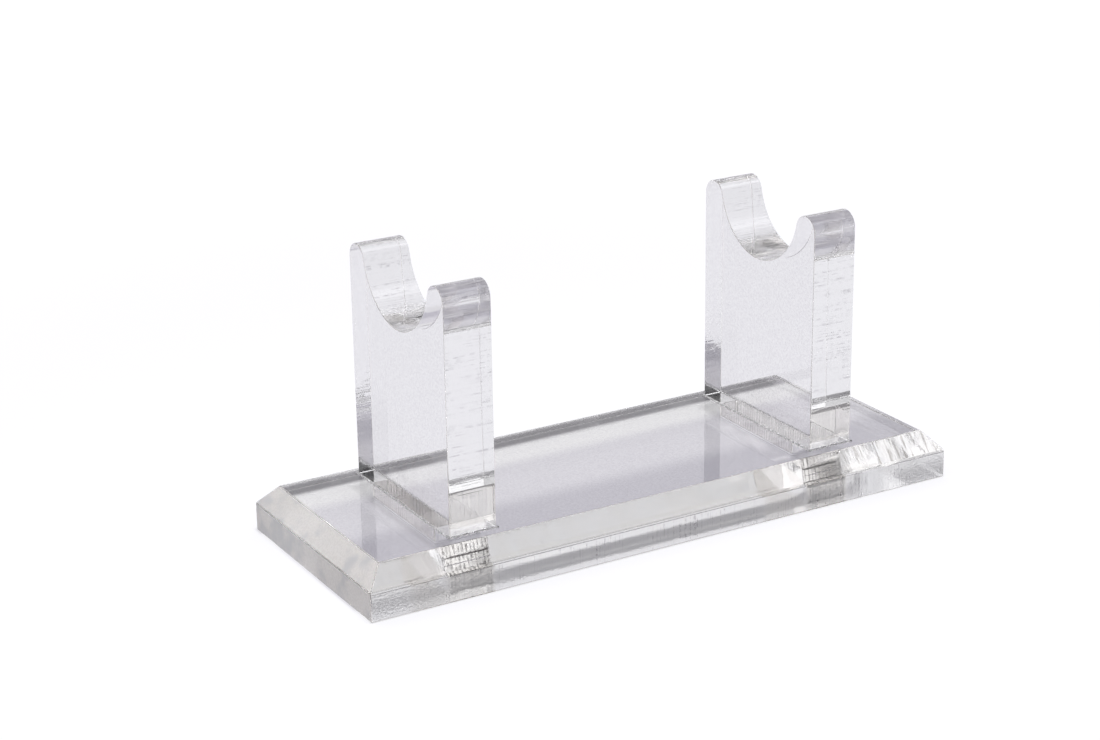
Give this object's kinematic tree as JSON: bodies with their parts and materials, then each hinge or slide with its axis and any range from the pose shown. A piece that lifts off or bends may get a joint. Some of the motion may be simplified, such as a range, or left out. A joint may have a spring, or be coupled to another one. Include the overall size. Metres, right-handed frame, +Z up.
{
  "type": "pen display stand",
  "caption": "Clear acrylic display stand: a bevelled base plate with two tenoned uprights whose open cradles hold a pen level above it.",
  "frame": {"origin": "middle of the base plate's underside, the face that the stand rests on", "axes": "+Z up; +X along the base, from the left upright to the right one, which is the way a pen lies; +Y across the base, away from the camera in the picture"},
  "size_m": [0.1, 0.0386, 0.0442],
  "materials": {
    "base_acrylic": "clear cast acrylic sheet, polished faces, saw-cut edges and a sanded bevel",
    "upright_acrylic": "clear cast acrylic sheet, polished faces and finely striped cut edges"
  },
  "bodies": {
    "root": {"base_plate": "base_acrylic", "left_upright": "upright_acrylic", "right_upright": "upright_acrylic"}
  },
  "joints": []
}
